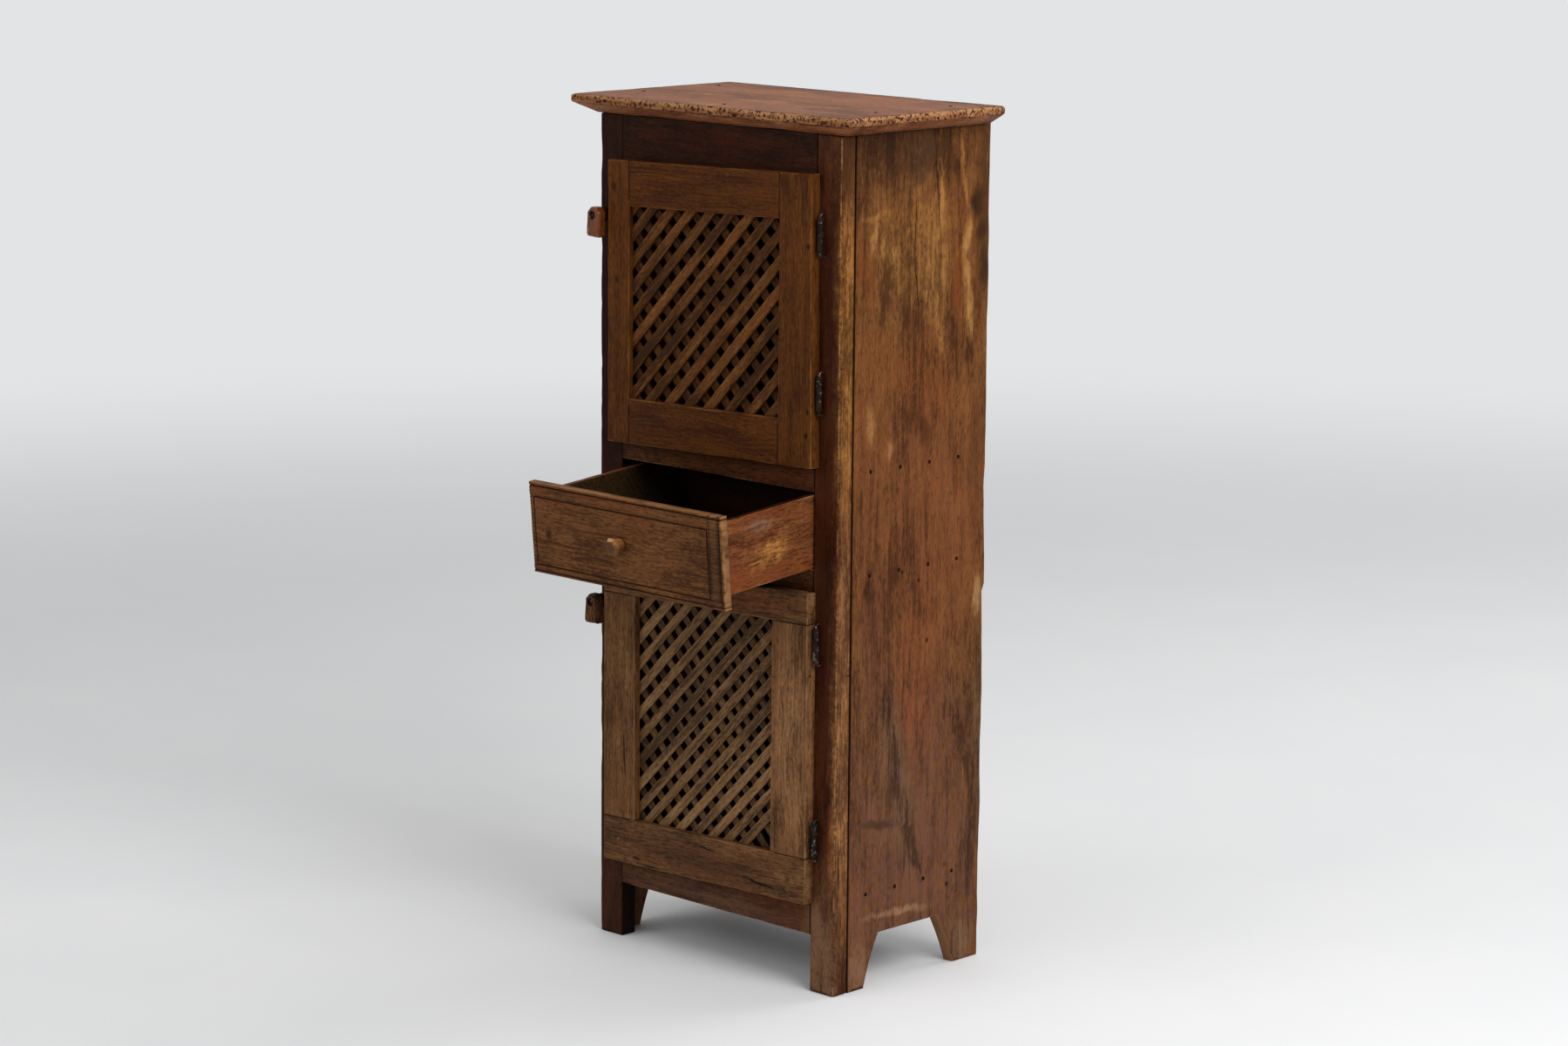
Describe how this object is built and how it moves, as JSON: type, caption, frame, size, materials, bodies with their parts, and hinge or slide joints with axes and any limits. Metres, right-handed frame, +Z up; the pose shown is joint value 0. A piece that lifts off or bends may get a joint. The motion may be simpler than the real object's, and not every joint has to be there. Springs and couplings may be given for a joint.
{
  "type": "pie safe",
  "caption": "Small standing pie safe with two lattice doors, a drawer between them, turn buttons and rolled wire hinges.",
  "frame": {"origin": "on the floor, at the centre of the case's footprint (stile fronts to nominal rear edge, outside to outside)", "axes": "+X to the right seen from the front, -Y out of the front, +Z up"},
  "size_m": [0.553, 0.5234, 1.2509],
  "materials": {
    "top_wood": "worn, waxed, with worm holes and a pale rubbed edge",
    "side_wood": "old waxed board with dark stains, knots and pale scuffs",
    "front_frame_wood": "old waxed finish, darker in the corners",
    "upper_door_wood": "orange-brown, waxed",
    "lower_door_wood": "greyer brown, worn, with worm holes",
    "upper_lattice_wood": "thin slats, orange-brown",
    "lower_lattice_wood": "thin slats, greyer brown",
    "drawer_front_wood": "waxed, with a moulded band",
    "drawer_box_wood": "bare, reddish, saw marks inside",
    "inner_wood": "bare, dark and dusty",
    "honey_knob_wood": "pale, whittled, polished by hands",
    "red_button_wood": "dark red gloss",
    "dark_button_wood": "dark, matt",
    "wrought_iron": "black forged iron, bright where it rubs"
  },
  "bodies": {
    "cabinet": {"back_nails": "wrought_iron", "back_plank_1": "inner_wood", "back_plank_2": "inner_wood", "back_plank_3": "inner_wood", "bottom_rail": "front_frame_wood", "drawer_guides": "inner_wood", "drawer_runners": "inner_wood", "frieze_rail": "front_frame_wood", "front_stile_left": "front_frame_wood", "front_stile_right": "front_frame_wood", "lower_door_hinge_staples": "wrought_iron", "lower_floor": "inner_wood", "rail_above_drawer": "front_frame_wood", "rail_below_drawer": "front_frame_wood", "side_board_left": "side_wood", "side_board_right": "side_wood", "side_nails": "wrought_iron", "top_board": "top_wood", "top_nails": "wrought_iron", "turn_button_pins": "wrought_iron", "upper_door_hinge_staples": "wrought_iron", "upper_floor": "inner_wood"},
    "upper_door": {"upper_door_left_stile": "upper_door_wood", "upper_door_right_stile": "upper_door_wood", "upper_door_bottom_rail": "upper_door_wood", "upper_door_top_rail": "upper_door_wood", "upper_door_front_slats": "upper_lattice_wood", "upper_door_back_slats": "upper_lattice_wood", "upper_door_pegs": "upper_door_wood", "upper_door_hinge_leaves": "wrought_iron"},
    "lower_door": {"lower_door_left_stile": "lower_door_wood", "lower_door_right_stile": "lower_door_wood", "lower_door_bottom_rail": "lower_door_wood", "lower_door_top_rail": "lower_door_wood", "lower_door_front_slats": "lower_lattice_wood", "lower_door_back_slats": "lower_lattice_wood", "lower_door_pegs": "lower_door_wood", "lower_door_hinge_leaves": "wrought_iron"},
    "drawer": {"drawer_front": "drawer_front_wood", "drawer_side_left": "drawer_box_wood", "drawer_side_right": "drawer_box_wood", "drawer_back": "drawer_box_wood", "drawer_bottom": "drawer_box_wood", "drawer_knob": "honey_knob_wood", "drawer_nails": "wrought_iron"},
    "upper_button": {"upper_turn_button": "red_button_wood"},
    "lower_button": {"lower_turn_button": "dark_button_wood"}
  },
  "joints": [
    {"name": "upper_door_hinge", "type": "hinge", "parent": "cabinet", "child": "upper_door", "pos_m": [0.2085, -0.1624, 0.9745], "axis": [0, 0, 1], "range_deg": [0, 155]},
    {"name": "lower_door_hinge", "type": "hinge", "parent": "cabinet", "child": "lower_door", "pos_m": [0.2075, -0.1624, 0.365], "axis": [0, 0, 1], "range_deg": [0, 155]},
    {"name": "drawer_slide", "type": "slide", "parent": "cabinet", "child": "drawer", "axis": [0, -0.9962, -0.0872], "range_m": [-0.171, 0.07]},
    {"name": "upper_button_turn", "type": "hinge", "parent": "cabinet", "child": "upper_button", "pos_m": [-0.2225, -0.163, 1.078], "axis": [0, 1, 0], "continuous": true},
    {"name": "lower_button_turn", "type": "hinge", "parent": "cabinet", "child": "lower_button", "pos_m": [-0.2265, -0.163, 0.508], "axis": [0, 1, 0], "continuous": true}
  ]
}
